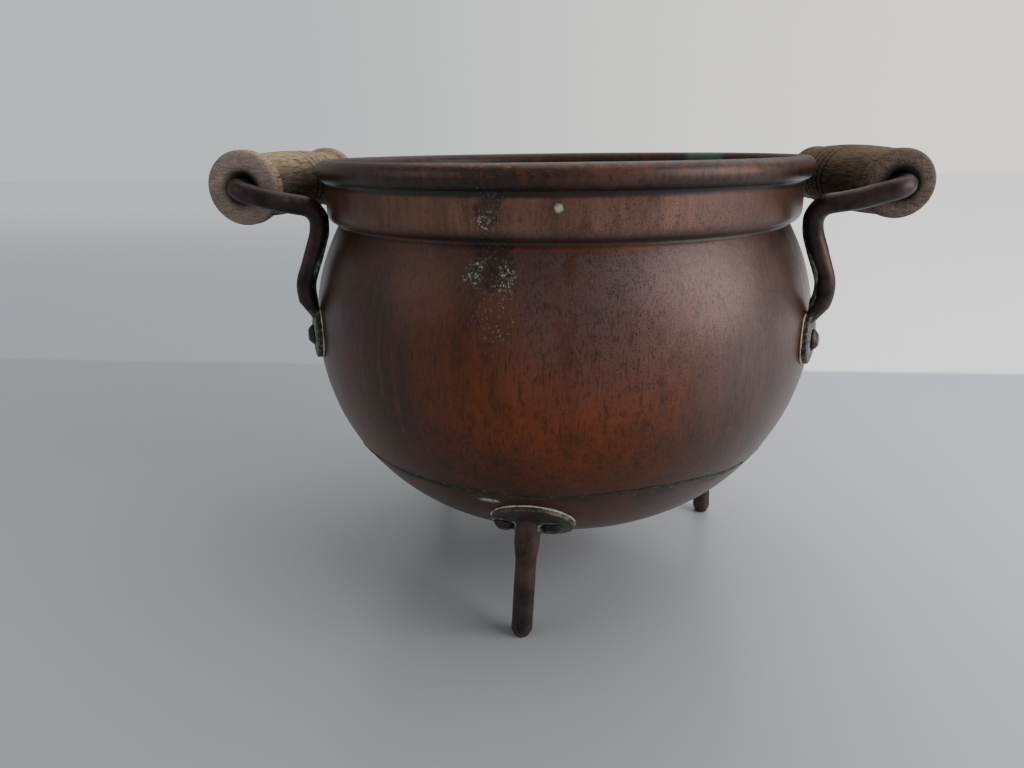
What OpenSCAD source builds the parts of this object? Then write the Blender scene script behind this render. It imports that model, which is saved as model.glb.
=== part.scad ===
// Small footed copper pot with a wired rim, two bail handles with turned
// wood grips, and three riveted legs. Units are millimetres. The origin lies
// on the pot's axis at the height of the table, +Z points up and the two
// handles stand on the +X and -X sides.

/* [Bowl] */
// Largest radius of the belly
belly_r = 80; // [76:0.5:84]
// Height of the widest part of the belly above the table
belly_z = 84.5; // [82:0.5:87]
// Radius of the belly's own curve, as seen from the side
belly_curve = 64.5; // [62:0.5:66]
// Thickness of the copper sheet
sheet_t = 1.4; // [1.2:0.1:1.6]
// How far the lapped seam with the bottom pan lies below the widest part
seam_drop = 34; // [31:0.5:35]
// How far the bottom pan reaches up inside the bowl, as an angle of the curve
lap_angle = 8; // [6:0.5:10]

/* [Collar and rim] */
// How far the straight collar stands inside the belly's widest radius
collar_step = 5.7; // [5:0.1:6.5]
// How far the crease below the collar lies above the belly's widest part
crease_rise = 33.6; // [32.5:0.1:34.5]
// Rounding of the collar's lower edge
collar_round = 3.2; // [2.4:0.1:3.6]
// Height of the middle of the rolled rim above the crease
collar_h = 15.1; // [14:0.1:17]
// Radius of the wire that the rim is rolled around
wire_r = 2; // [1.8:0.1:2.3]

/* [Handles] */
// Gap between the rolled rim and a wood grip
rim_gap = 2.75; // [1.8:0.05:6]
// How far each grip's axis lies below the middle of the rolled rim
grip_drop = 3.9; // [2:0.1:4.2]
// Radius of the handle rod
rod_r = 2.8; // [2.4:0.1:2.8]
// Half the length of a wood grip
grip_half = 38.5; // [32:0.5:38.5]
// Radius of the grip's middle swelling
grip_r = 9.8; // [9.4:0.1:10.4]
// Radius of the left grip's two ends
left_end_r = 10.5; // [9.4:0.1:10.6]
// Radius of the right grip's two ends
right_end_r = 9.1; // [9:0.1:10.6]
// How much further the right handle stands out than the left one
right_out = 1.2; // [0:0.1:1.6]
// Gap all round between the rod and the hole through a grip
grip_gap = 0.35; // [0.25:0.05:0.6]
// Angle of each handle foot away from the handle's own side of the pot
foot_angle = 26; // [24:0.5:30]
// Height of the rivet in each handle foot above the belly's widest part
rivet_rise = 1.5; // [0:0.5:2.5]

/* [Legs] */
// How far each leg stands outside the middle of its plate
leg_out = 0.9; // [-1:0.1:2]
// Radius of a leg rod
leg_r = 3.15; // [2.8:0.05:3.3]
// Turn of the front leg away from the front of the pot
leg_turn = -6.3; // [-10:0.1:0]
// Sideways lean of each leg
leg_lean = 3.4; // [0:0.2:4]
// Radius of the round plate at the top of each leg
leg_plate_r = 11.9; // [11.7:0.1:12.8]
// Distance of each leg rivet from the middle of its plate
leg_rivet_gap = 6.8; // [6.7:0.1:7.2]

/* [Rivets] */
// Radius of a rivet's shank
shank_r = 1.6; // [1.3:0.1:1.7]
// Radius of the head of a handle rivet
handle_head_r = 3.2; // [2.8:0.1:3.4]
// Radius of the head of a leg rivet
leg_head_r = 3.3; // [2.9:0.1:3.4]

/* [Hidden] */
$fn = 96;

// Side view of the belly: one arc about a point off the pot's axis.
arc_x = belly_r - belly_curve;
seam_z = belly_z - seam_drop;
arc_end = asin(-seam_drop / belly_curve);
edge_t = 0.3;                      // thickness of both dressed seam edges
reach = 30;                        // generous overhang of every cutting outline
over = 1;                          // small overhang of a cut past a face

// Rolled rim and the crease below the collar.
collar_r = belly_r - collar_step;
crease_z = belly_z + crease_rise;
rim_z = crease_z + collar_h;
wire_gap = 0.05;
curl_thin = 0.2;                   // how much rolling thins the sheet
curl_in = wire_r + wire_gap;
curl_out = curl_in + sheet_t - curl_thin;
rim_r = collar_r - sheet_t / 2;
curl_slot = 0.5;
curl_slot_angle = 236;

// Seam braze bead.
braze_r = 0.7;
braze_sink = 0.4;
braze_gap = 0.06;

// Handle rod, as corner points joined by round bends. The rod leaves its grip
// at the hook, crosses the grip's end, turns down at the elbow beside the
// collar, and bows out over the belly before it reaches the foot.
grip_x = rim_r + curl_out + rim_gap + grip_r;
grip_z = rim_z - grip_drop;
handle_rivet_z = belly_z + rivet_rise;
hook_out = 6.5;                    // from the end of a grip to the rod's corner
hook_y = grip_half + hook_out;
hook_bend = 4;
cross_part = 0.55;                 // place of the soft bend between hook and elbow
cross_push = [0, 1.8, -0.4];       // how far that bend stands out of the straight line
cross_bend = 14;
elbow_off = 3.15;
elbow_rise = 5.4;
elbow_turn = 2;                    // how far the elbow stands beyond the foot's angle
elbow_bend = 5.4;
neck_drop = 1.6;                   // from the crease down to the start of the bow
neck_bend = 12;
bow_off = 5.1;
bow_z = handle_rivet_z + 15.4;
bow_bend = 12;
shin_off = 3.45;
shin_z = handle_rivet_z + 10.4;
shin_point = around([belly_x(shin_z) + shin_off, shin_z], foot_angle);
run_in = 0.2;                      // overlap of a straight run with its bend
bend_swell = 0.03;                 // extra radius of each bend
taper_l = 5.6;                     // rise of the hammered taper above its rivet
taper_half_w = 3.5;
taper_squash = 0.16;

// Flattened foot of the handle rod.
foot_t = 1.9;
foot_half_w = 7;
foot_half_l = 9.4;
foot_nose_r = 7.4;
foot_drop = 0.6;
foot_shift = 0.8;                  // how far the foot's outline stands away from the grip's side

// Leg plates, feet and rivets.
band_half = 20;                    // half the angle of the band a plate is cut from
prism_h = 16;                      // height of the prism that cuts its outline
plate_t = 1.6;
plate_shift = 1.2;                 // how far a plate's outline stands to one side of its post
plate_angle = -46.2;               // place of the plate's middle on the belly curve
plate_x = arc_x + belly_curve * cos(plate_angle);
plate_z = belly_z + belly_curve * sin(plate_angle);
leg_circle_r = plate_x + leg_out;
post_rise = 7.5;                   // height of a post's stock above its plate's middle
toe_chamfer = 1.1;
neck_r = 3.7;
neck_h = 5;
leg_step = 120;
head_h = 1.9;
inner_head_r = 2.6;
inner_head_h = 0.9;
inner_seat = 0.1;                  // lets a flat head sit inside the hollow curve
flat_trim = 0.35;                  // flat worn on top of each domed head
hole_l = 8.4;                      // length of every shank hole's cut

// Grip profile, measured along the grip from its middle.
bead_l = 5.2;
end_round = 1.5;
cove_l = 4;
cove_r = 8.9;
groove_r = 0.75;
groove_lift = 0.225;               // height of a groove's centre above the skin
groove_step = 3.2;
groove_count = 5;
groove_mid = 4;                    // how far the grooves' middle lies behind the grip's
mouth_r = 4.6;
mouth_l = 1.6;

function unit(v) = v / norm(v);
function on_arc(radius, angle) = [arc_x + radius * cos(angle), belly_z + radius * sin(angle)];
function belly_x(z) = arc_x + sqrt(belly_curve * belly_curve - pow(z - belly_z, 2));
function around(flat, angle) = [flat[0] * cos(angle), flat[0] * sin(angle), flat[1]];
function turn_of(a, b) = acos(a * b);

// ---- Side outlines of the sheet metal, all turned about the pot's axis ----

module belly_band() {
    intersection() {
        translate([arc_x, belly_z]) difference() {
            circle(belly_curve, $fn = 360);
            circle(belly_curve - sheet_t, $fn = 360);
        }
        translate([arc_x, 0]) square([belly_curve + reach, crease_z + sheet_t]);
    }
}

// Everything above the slanted cut through the seam lap.
module above_lap() {
    polygon([
        on_arc(belly_curve + reach, arc_end),
        on_arc(belly_curve - edge_t, arc_end),
        on_arc(belly_curve - sheet_t + edge_t, arc_end + lap_angle),
        on_arc(belly_curve - sheet_t - reach, arc_end + lap_angle),
        [arc_x, crease_z + reach],
        [belly_r + reach, crease_z + reach],
    ]);
}

// The straight wall, its rounded lower corner and the ledge back to the belly.
module collar_outline() {
    corner = [collar_r - collar_round, crease_z + collar_round];
    wall_top = rim_z - (curl_in + curl_out) / 2;
    ledge_from = belly_x(crease_z) - sheet_t;
    translate([collar_r - sheet_t, corner[1]]) square([sheet_t, wall_top - corner[1]]);
    intersection() {
        translate(corner) difference() {
            circle(collar_round);
            circle(collar_round - sheet_t);
        }
        translate([corner[0], crease_z]) square([collar_round, collar_round]);
    }
    translate([min(ledge_from, corner[0]), crease_z])
        square([abs(corner[0] - ledge_from), sheet_t]);
}

module curl_outline() {
    translate([rim_r, rim_z]) difference() {
        circle(curl_out);
        circle(curl_in);
        rotate(curl_slot_angle)
            translate([0, -curl_slot / 2]) square([curl_out + over, curl_slot]);
    }
}

module bowl_shell() {
    color("#7a4a34") difference() {
        rotate_extrude($fn = 180) {
            difference() {
                intersection() {
                    belly_band();
                    above_lap();
                }
                braze_outline(braze_gap);
            }
            collar_outline();
            curl_outline();
        }
        for (side = [0, 180], angle = [foot_angle, -foot_angle]) {
            handle_rivet_frame(side + angle) shank_hole();
        }
    }
}

module rim_wire() {
    color("#5a5550") rotate_extrude($fn = 180)
        translate([rim_r, rim_z]) circle(wire_r);
}

module bottom_pan() {
    color("#714330") difference() {
        rotate_extrude($fn = 180) {
            difference() {
                belly_band();
                above_lap();
                braze_outline(braze_gap);
            }
            translate([0, belly_z - belly_curve]) square([arc_x, sheet_t]);
        }
        for (leg = [0, 1, 2], end = [-1, 1]) {
            leg_rivet_frame(leg, end) shank_hole();
        }
    }
}

// A round bead of braze that lies in a groove along the outer edge of the lap.
module braze_outline(clear = 0) {
    translate(on_arc(belly_curve - braze_sink, arc_end)) circle(braze_r + clear, $fn = 48);
}

module seam_braze() {
    color("#4f5a45") rotate_extrude($fn = 180) braze_outline();
}

// ---- Rivets ----

module handle_rivet_frame(angle) {
    tilt = asin(rivet_rise / belly_curve);
    rotate([0, 0, angle])
        translate([arc_x, 0, belly_z])
            rotate([0, 90 - tilt, 0])
                translate([0, 0, belly_curve])
                    children();
}

module leg_plate_frame(leg) {
    rotate([0, 0, -90 + leg_turn + leg * leg_step])
        translate([arc_x, 0, belly_z])
            rotate([0, 90 - plate_angle, 0])
                translate([0, 0, belly_curve])
                    children();
}

// Each leg rivet stands square to the pan at its own place beside the post.
module leg_rivet_frame(leg, end) {
    rotate([0, 0, end * asin(leg_rivet_gap / plate_x)]) leg_plate_frame(leg) children();
}

module shank_hole() {
    cylinder(h = hole_l, r = shank_r, center = true, $fn = 48);
}

// A dome on the outside, the shank through both pieces, a small peened head inside.
module rivet(head_r, through_t) {
    color("#5d3a2c") {
        dome_r = (head_r * head_r + head_h * head_h) / (2 * head_h);
        back = -sheet_t - inner_seat;
        rotate_extrude($fn = 48) {
            intersection() {
                translate([0, through_t + head_h - dome_r]) circle(dome_r, $fn = 96);
                translate([0, through_t]) square([head_r, head_h - flat_trim]);
            }
            translate([0, back]) square([shank_r, through_t - back]);
            translate([0, back - inner_head_h]) square([inner_head_r, inner_head_h]);
        }
    }
}

// ---- Handles ----

// A round bar through a list of corner points, with a round bend at each inner
// corner. Each bend is a piece of a ring set into the plane of its two runs, a
// hair thicker than the bar so that the straight runs end inside it.
module bent_bar(points, bends, r) {
    last = len(points) - 1;
    runs = [for (i = [0 : last - 1]) unit(points[i + 1] - points[i])];
    trims = [for (i = [0 : last])
        (i == 0 || i == last) ? 0 : bends[i] * tan(turn_of(runs[i - 1], runs[i]) / 2) - run_in];
    for (i = [0 : last - 1]) {
        start = points[i] + runs[i] * trims[i];
        stop = points[i + 1] - runs[i] * trims[i + 1];
        bar_between(start, stop, r);
    }
    for (i = [1 : last - 1]) {
        bend_start = points[i] - runs[i - 1] * (trims[i] + run_in);
        bar_bend(bend_start, runs[i - 1], runs[i], bends[i], r + bend_swell);
    }
}

module bar_between(start, stop, r) {
    axis = unit(stop - start);
    side = unit(cross(axis, abs(axis[2]) < 0.9 ? [0, 0, 1] : [1, 0, 0]));
    up = cross(axis, side);
    place(side, up, axis, start) cylinder(h = norm(stop - start), r = r, $fn = 48);
}

module bar_bend(start, before, after, bend, r) {
    inward = unit(after - before * (before * after));
    place(-inward, before, cross(-inward, before), start + inward * bend)
        rotate_extrude(angle = turn_of(before, after), $fn = 96)
            translate([bend, 0]) circle(r, $fn = 48);
}

// Puts a child into the frame with the three given axes and origin.
module place(x, y, z, origin) {
    multmatrix([
        [x[0], y[0], z[0], origin[0]],
        [x[1], y[1], z[1], origin[1]],
        [x[2], y[2], z[2], origin[2]],
        [0, 0, 0, 1],
    ]) children();
}

// Leaf outline of the hammered foot, seen along the rivet.
module foot_outline() {
    leaf_r = (foot_half_l * foot_half_l + foot_half_w * foot_half_w) / (2 * foot_half_w);
    translate([0, foot_shift]) intersection() {
        translate([0, leaf_r - foot_half_w]) circle(leaf_r, $fn = 96);
        translate([0, foot_half_w - leaf_r]) circle(leaf_r, $fn = 96);
        translate([-foot_drop, 0]) circle(foot_nose_r, $fn = 96);
    }
}

// Foot plate that follows the belly, with its rivet hole.
module handle_foot() {
    difference() {
        intersection() {
            rotate([0, 0, foot_angle - band_half])
                rotate_extrude(angle = 2 * band_half, $fn = 180)
                intersection() {
                    translate([arc_x, belly_z]) difference() {
                        circle(belly_curve + foot_t, $fn = 360);
                        circle(belly_curve, $fn = 360);
                    }
                    translate([arc_x, handle_rivet_z - reach])
                        square([belly_curve + reach, 2 * reach]);
                }
            handle_rivet_frame(foot_angle)
                translate([0, 0, -prism_h / 2]) linear_extrude(height = prism_h) foot_outline();
        }
        handle_rivet_frame(foot_angle) shank_hole();
    }
}

// Hammered taper between the round rod and the flat foot.
module handle_taper(out) {
    down = unit(shin_point - bow_point(out));
    side = [-sin(foot_angle), cos(foot_angle), 0];
    hull() {
        place(cross(side, down), side, down, shin_point - down * 2 * run_in)
            cylinder(h = run_in, r = rod_r - bend_swell, $fn = 32);
        handle_rivet_frame(foot_angle)
            translate([-taper_l, 0, edge_t / 2]) scale([taper_squash, 1, 1])
                cylinder(h = foot_t - edge_t, r = taper_half_w, $fn = 32);
    }
}

// Corner points of one half of a rod, from its grip downwards. Each takes how
// far its handle stands further out.
function hook_point(out) = [grip_x + out, hook_y, grip_z];
function elbow_point(out) =
    around([collar_r + elbow_off + out, crease_z + elbow_rise], foot_angle + elbow_turn);
function cross_point(out) =
    hook_point(out) + (elbow_point(out) - hook_point(out)) * cross_part + cross_push;
function neck_point(out) =
    around([collar_r + elbow_off + out, crease_z - neck_drop], foot_angle + elbow_turn / 2);
function bow_point(out) = around([belly_x(bow_z) + bow_off + out, bow_z], foot_angle);
function half_corners(out) =
    [hook_point(out), cross_point(out), elbow_point(out), neck_point(out), bow_point(out), shin_point];
half_bends = [hook_bend, cross_bend, elbow_bend, neck_bend, bow_bend, 0];

function flip(p) = [p[0], -p[1], p[2]];

module handle_rod(out) {
    near_corners = half_corners(out);
    count = len(near_corners);
    far_corners = [for (i = [count - 1 : -1 : 0]) flip(near_corners[i])];
    far_bends = [for (i = [count - 1 : -1 : 0]) half_bends[i]];
    color("#4b332a") {
        bent_bar(concat(far_corners, near_corners), concat(far_bends, half_bends), rod_r);
        for (end = [0, 1]) {
            mirror([0, end, 0]) {
                handle_taper(out);
                handle_foot();
            }
        }
    }
}

module grip_outline(end_r) {
    swell_half = grip_half - bead_l - cove_l;
    swell_r = (swell_half * swell_half + pow(grip_r - cove_r, 2)) / (2 * (grip_r - cove_r));
    difference() {
        union() {
            intersection() {
                translate([grip_r - swell_r, 0]) circle(swell_r, $fn = 720);
                translate([0, -swell_half]) square([grip_r, 2 * swell_half]);
            }
            translate([0, -grip_half + end_round])
                square([cove_r, 2 * (grip_half - end_round)]);
            for (end = [0, 1]) {
                mirror([0, end]) translate([0, grip_half - bead_l]) end_drum(end_r);
            }
        }
        translate([-over, -grip_half - over])
            square([over + rod_r + grip_gap, 2 * (grip_half + over)]);
        for (end = [-1, 1]) {
            polygon([
                [0, end * (grip_half + over)],
                [mouth_r * (1 + over / mouth_l), end * (grip_half + over)],
                [0, end * (grip_half - mouth_l)],
            ]);
        }
        for (i = [0 : groove_count - 1]) {
            offset_y = groove_mid + (i - (groove_count - 1) / 2) * groove_step;
            translate([grip_r + groove_lift, offset_y]) circle(groove_r, $fn = 32);
        }
    }
}

// Half outline of a turned end with both of its edges rounded.
module end_drum(end_r) {
    square([end_r - end_round, bead_l]);
    translate([0, end_round]) square([end_r, bead_l - 2 * end_round]);
    for (height = [end_round, bead_l - end_round]) {
        translate([end_r - end_round, height]) circle(end_round);
    }
}

module grip(end_r, out) {
    color("#8a6a4c") translate([grip_x + out, 0, grip_z])
        rotate([-90, 0, 0]) rotate_extrude() grip_outline(end_r);
}

// ---- Legs ----

module leg(index) {
    color("#54382c") difference() {
        union() {
            leg_plate(index);
            leg_post(index);
        }
        for (end = [-1, 1]) {
            leg_rivet_frame(index, end) shank_hole();
        }
    }
}

// Round plate that follows the pan.
module leg_plate(index) {
    intersection() {
        rotate([0, 0, -90 + leg_turn + index * leg_step - band_half])
            rotate_extrude(angle = 2 * band_half, $fn = 180)
                intersection() {
                    translate([arc_x, belly_z]) difference() {
                        circle(belly_curve + plate_t, $fn = 360);
                        circle(belly_curve, $fn = 360);
                    }
                    translate([arc_x, 0]) square([belly_curve + reach, seam_z]);
                }
        leg_plate_frame(index) translate([0, plate_shift, 0])
            cylinder(h = prism_h, r = leg_plate_r, center = true);
    }
}

module leg_post(index) {
    top = plate_z;
    difference() {
        intersection() {
            rotate([0, 0, -90 + leg_turn + index * leg_step])
                translate([leg_circle_r, 0, top])
                    rotate([-leg_lean, 0, 0])
                        rotate_extrude() post_outline(top);
            cylinder(h = top + reach, r = belly_r);
        }
        belly_fill();
    }
}

// Half outline of a post that hangs down from the height of its plate.
module post_outline(top) {
    foot = -top / cos(leg_lean) - leg_r * sin(leg_lean);
    flare = -neck_h - plate_t;
    polygon([
        [0, post_rise],
        [neck_r, post_rise],
        [neck_r, flare],
        [leg_r, flare - neck_h],
        [leg_r, foot + 2 * toe_chamfer],
        [leg_r - toe_chamfer, foot],
        [0, foot],
    ]);
}

// The space taken by the pan, used to end each post on its surface.
module belly_fill() {
    rotate_extrude($fn = 180) {
        intersection() {
            translate([arc_x, belly_z]) circle(belly_curve + plate_t / 2, $fn = 360);
            translate([arc_x, 0]) square([belly_curve + reach, belly_z]);
        }
        translate([0, belly_z - belly_curve - plate_t / 2]) square([arc_x, belly_curve]);
    }
}

bowl_shell();
rim_wire();
bottom_pan();
seam_braze();
mirror([1, 0, 0]) handle_rod(0);  // left_handle_rod
handle_rod(right_out);  // right_handle_rod
mirror([1, 0, 0]) grip(left_end_r, 0);  // left_grip
grip(right_end_r, right_out);  // right_grip
handle_rivet_frame(180 + foot_angle) rivet(handle_head_r, foot_t);  // left_front_rivet
handle_rivet_frame(180 - foot_angle) rivet(handle_head_r, foot_t);  // left_rear_rivet
handle_rivet_frame(-foot_angle) rivet(handle_head_r, foot_t);  // right_front_rivet
handle_rivet_frame(foot_angle) rivet(handle_head_r, foot_t);  // right_rear_rivet
leg(0);  // front_leg
leg(1);  // right_leg
leg(2);  // left_leg
leg_rivet_frame(0, -1) rivet(leg_head_r, plate_t);  // front_leg_rivet_a
leg_rivet_frame(0, 1) rivet(leg_head_r, plate_t);  // front_leg_rivet_b
leg_rivet_frame(1, -1) rivet(leg_head_r, plate_t);  // right_leg_rivet_a
leg_rivet_frame(1, 1) rivet(leg_head_r, plate_t);  // right_leg_rivet_b
leg_rivet_frame(2, -1) rivet(leg_head_r, plate_t);  // left_leg_rivet_a
leg_rivet_frame(2, 1) rivet(leg_head_r, plate_t);  // left_leg_rivet_b
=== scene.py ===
from math import acos, asin, atan2, cos, degrees, pi, radians, sin, sqrt, tan

import bmesh
import bpy
from mathutils import Matrix, Vector, noise


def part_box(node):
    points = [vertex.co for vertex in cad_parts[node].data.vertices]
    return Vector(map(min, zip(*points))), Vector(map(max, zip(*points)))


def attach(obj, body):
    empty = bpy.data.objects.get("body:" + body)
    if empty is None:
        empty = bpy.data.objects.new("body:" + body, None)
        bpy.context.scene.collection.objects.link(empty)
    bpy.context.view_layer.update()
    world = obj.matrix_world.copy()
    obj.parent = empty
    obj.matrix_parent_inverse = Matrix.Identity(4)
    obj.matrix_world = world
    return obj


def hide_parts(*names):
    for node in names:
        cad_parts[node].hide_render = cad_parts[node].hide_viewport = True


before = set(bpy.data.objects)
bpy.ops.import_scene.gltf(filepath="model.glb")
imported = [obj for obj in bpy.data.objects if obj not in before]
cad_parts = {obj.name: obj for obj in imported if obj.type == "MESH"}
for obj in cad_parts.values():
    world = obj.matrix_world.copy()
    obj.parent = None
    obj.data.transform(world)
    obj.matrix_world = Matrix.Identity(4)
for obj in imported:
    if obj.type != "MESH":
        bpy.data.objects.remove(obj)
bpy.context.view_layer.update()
mm = 0.001
print("frame loaded")


# The camera stands where the photograph was taken from. Places are in millimetres.
viewPoint = {
    "place": (6.43, -245.49, 140.66),
    "turn": 5.344,
    "tilt": 18.273,
    "roll": -0.6955,
    "focalPixels": 730.0,
    "imageWidth": 1024,
    "filmWidth": 36.0,
}


def placeCamera(v):
    data = bpy.data.cameras.new("photoCamera")
    data.sensor_fit = "HORIZONTAL"
    data.sensor_width = v["filmWidth"]
    data.lens = v["focalPixels"] * v["filmWidth"] / v["imageWidth"]
    data.clip_start = 10 * mm
    data.clip_end = 20.0
    turn, tilt, roll = (radians(v[k]) for k in ("turn", "tilt", "roll"))
    ahead = Vector((-sin(turn) * cos(tilt), cos(turn) * cos(tilt), -sin(tilt)))
    right = Vector((cos(turn), sin(turn), 0))
    up = right.cross(ahead)
    across = right * cos(roll) + up * sin(roll)
    upward = up * cos(roll) - right * sin(roll)
    camera = bpy.data.objects.new("photoCamera", data)
    camera.matrix_world = Matrix((
        (across.x, upward.x, -ahead.x, v["place"][0] * mm),
        (across.y, upward.y, -ahead.y, v["place"][1] * mm),
        (across.z, upward.z, -ahead.z, v["place"][2] * mm),
        (0, 0, 0, 1),
    ))
    bpy.context.scene.collection.objects.link(camera)
    bpy.context.scene.camera = camera


placeCamera(viewPoint)
print("camera placed")


class Wire:
    # One socket of a material. Sums on it add Math nodes, node() adds any other node.
    def __init__(self, tree, socket=None):
        self.tree = tree
        self.socket = socket

    def node(self, kind, settings=None, sockets=None, out=0):
        made = self.tree.nodes.new(kind)
        for key, value in (settings or {}).items():
            if key == "stops":
                self.setStops(made.color_ramp, value)
            else:
                setattr(made, key, value)
        for key, value in (sockets or {}).items():
            if isinstance(value, Wire):
                self.tree.links.new(value.socket, made.inputs[key])
            else:
                made.inputs[key].default_value = value
        return Wire(self.tree, made.outputs[out])

    def setStops(self, ramp, stops):
        while len(ramp.elements) > len(stops):
            ramp.elements.remove(ramp.elements[-1])
        while len(ramp.elements) < len(stops):
            ramp.elements.new(1)
        for element, (place, shade) in zip(ramp.elements, stops):
            element.position = place
            element.color = (*shade, 1)

    def sum(self, operation, *values, clamp=False):
        settings = {"operation": operation, "use_clamp": clamp}
        return self.node("ShaderNodeMath", settings, dict(enumerate(values)))

    def __add__(self, other):
        return self.sum("ADD", self, other)

    def __radd__(self, other):
        return self.sum("ADD", other, self)

    def __sub__(self, other):
        return self.sum("SUBTRACT", self, other)

    def __rsub__(self, other):
        return self.sum("SUBTRACT", other, self)

    def __mul__(self, other):
        return self.sum("MULTIPLY", self, other)

    def __rmul__(self, other):
        return self.sum("MULTIPLY", other, self)

    def __truediv__(self, other):
        return self.sum("DIVIDE", self, other)

    def __rtruediv__(self, other):
        return self.sum("DIVIDE", other, self)

    def root(self):
        return self.sum("SQRT", self)

    def cosine(self):
        return self.sum("COSINE", self)

    def absolute(self):
        return self.sum("ABSOLUTE", self)

    def atLeast(self, other):
        return self.sum("MAXIMUM", self, other)

    def clamped(self):
        return self.sum("ADD", self, 0, clamp=True)

    def fade(self, low, high, start=0, end=1):
        settings = {"interpolation_type": "SMOOTHSTEP", "clamp": True}
        sockets = {0: self, 1: low, 2: high, 3: start, 4: end}
        return self.node("ShaderNodeMapRange", settings, sockets)

    def ramp(self, *stops):
        return self.node("ShaderNodeValToRGB", {"stops": stops}, {0: self})

    def over(self, below, above):
        # self is the mask that lays the colour above on the colour below
        settings = {"data_type": "RGBA", "blend_type": "MIX", "clamp_factor": True}
        low = (*below, 1) if isinstance(below, tuple) else below
        top = (*above, 1) if isinstance(above, tuple) else above
        return self.node("ShaderNodeMix", settings, {0: self, 6: low, 7: top}, out=2)

    def stretched(self, scale, shift=(0, 0, 0)):
        moved = self.node("ShaderNodeVectorMath", {"operation": "MULTIPLY"}, {0: self, 1: scale})
        return moved.node("ShaderNodeVectorMath", {"operation": "ADD"}, {0: moved, 1: shift})

    def away(self, point):
        # distance in millimetres from a point given in millimetres
        settings = {"operation": "DISTANCE"}
        return self.node("ShaderNodeVectorMath", settings, {0: self, 1: point}, out=1)

    def grain(self, scale, detail=4.0, rough=0.55, warp=0.0):
        sockets = {"Vector": self, "Scale": scale, "Detail": detail, "Roughness": rough,
                   "Distortion": warp}
        return self.node("ShaderNodeTexNoise", {"noise_dimensions": "3D"}, sockets)

    def cells(self, scale):
        sockets = {"Vector": self, "Scale": scale, "Randomness": 1.0}
        return self.node("ShaderNodeTexVoronoi", {"feature": "F1"}, sockets)

    def parts(self):
        made = self.node("ShaderNodeSeparateXYZ", {}, {0: self}).socket.node
        return [Wire(self.tree, socket) for socket in made.outputs]


def newFinish(name, constants):
    # returns the material, its principled shader, and the places on the object in millimetres
    finish = bpy.data.materials.new(name)
    finish.use_nodes = True
    shader = finish.node_tree.nodes["Principled BSDF"]
    for key, value in constants.items():
        shader.inputs[key].default_value = value
    start = Wire(finish.node_tree)
    place = start.node("ShaderNodeTexCoord", out=3)
    place = start.node("ShaderNodeVectorMath", {"operation": "MULTIPLY"},
                       {0: place, 1: (1 / mm, 1 / mm, 1 / mm)})
    return finish, shader, place


def finishWith(shader, place, color, rough, height, depth, metal=None, coat=None):
    # depth is the depth of the bumps in millimetres where height is 1
    bump = place.node("ShaderNodeBump", {}, {"Strength": 1.0, "Distance": depth * mm,
                                             "Height": height})
    ends = {"Base Color": color, "Roughness": rough, "Metallic": metal, "Coat Weight": coat,
            "Normal": bump}
    for key, wire in ends.items():
        if wire is not None:
            place.tree.links.new(wire.socket, shader.inputs[key])


def grainsOf(place, grains):
    # makes each grain of a finish; its noise gives the scale, detail, roughness and warp
    made = {}
    for key, how in grains.items():
        spread = place.stretched(how.get("stretch", (1, 1, 1)), how.get("shift", (0, 0, 0)))
        made[key] = spread.grain(*how["noise"])
    return made


def cadBoxMm(node):
    low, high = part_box(node)
    return [v / mm for v in low], [v / mm for v in high]


# The pot's own sizes in millimetres, with its rim as the frame has it.
pot = {
    "sheet": 1.4,            # thickness of the copper
    "bellyR": 80.0,          # radius at its widest part
    "bellyCurve": 64.5,      # radius of the belly's side curve
    "bellyZ": 84.5,          # height of its widest part
    "seamZ": 50.5,           # height of the seam
    "lap": 8.0,              # lap of the pan inside the bowl, in degrees
    "collarR": 74.3,
    "creaseZ": 118.1,
    "collarRound": 3.2,
    "rimTube": 3.25,         # outer radius of the rolled rim
    "wireTube": 2.05,        # inner radius of the rolled rim
    "curlEnd": 233.0,        # where the roll ends, in degrees
    "lipEnd": 250.0,         # where its inner edge turns down to the wall
}
pot["arcX"] = pot["bellyR"] - pot["bellyCurve"]
rimLow, rimHigh = cadBoxMm("rim_wire")
pot["rimZ"] = (rimLow[2] + rimHigh[2]) / 2
pot["rimR"] = rimHigh[0] - (rimHigh[2] - rimLow[2]) / 2


def wallRadius(z):
    # outer radius of the pot at a height
    if z > pot["creaseZ"]:
        return pot["collarR"]
    rise = z - pot["bellyZ"]
    return pot["arcX"] + sqrt(pot["bellyCurve"] ** 2 - rise ** 2)


def arcAngle(z):
    # place on the belly's side curve at a height, in degrees
    return degrees(asin((z - pot["bellyZ"]) / pot["bellyCurve"]))


def bellyPoint(turn, angle, off=0.0):
    # a point on the belly by its turn round the pot and the angle of its side curve
    r = pot["arcX"] + (pot["bellyCurve"] + off) * cos(radians(angle))
    z = pot["bellyZ"] + (pot["bellyCurve"] + off) * sin(radians(angle))
    return Vector((r * cos(radians(turn)), r * sin(radians(turn)), z))


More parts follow.
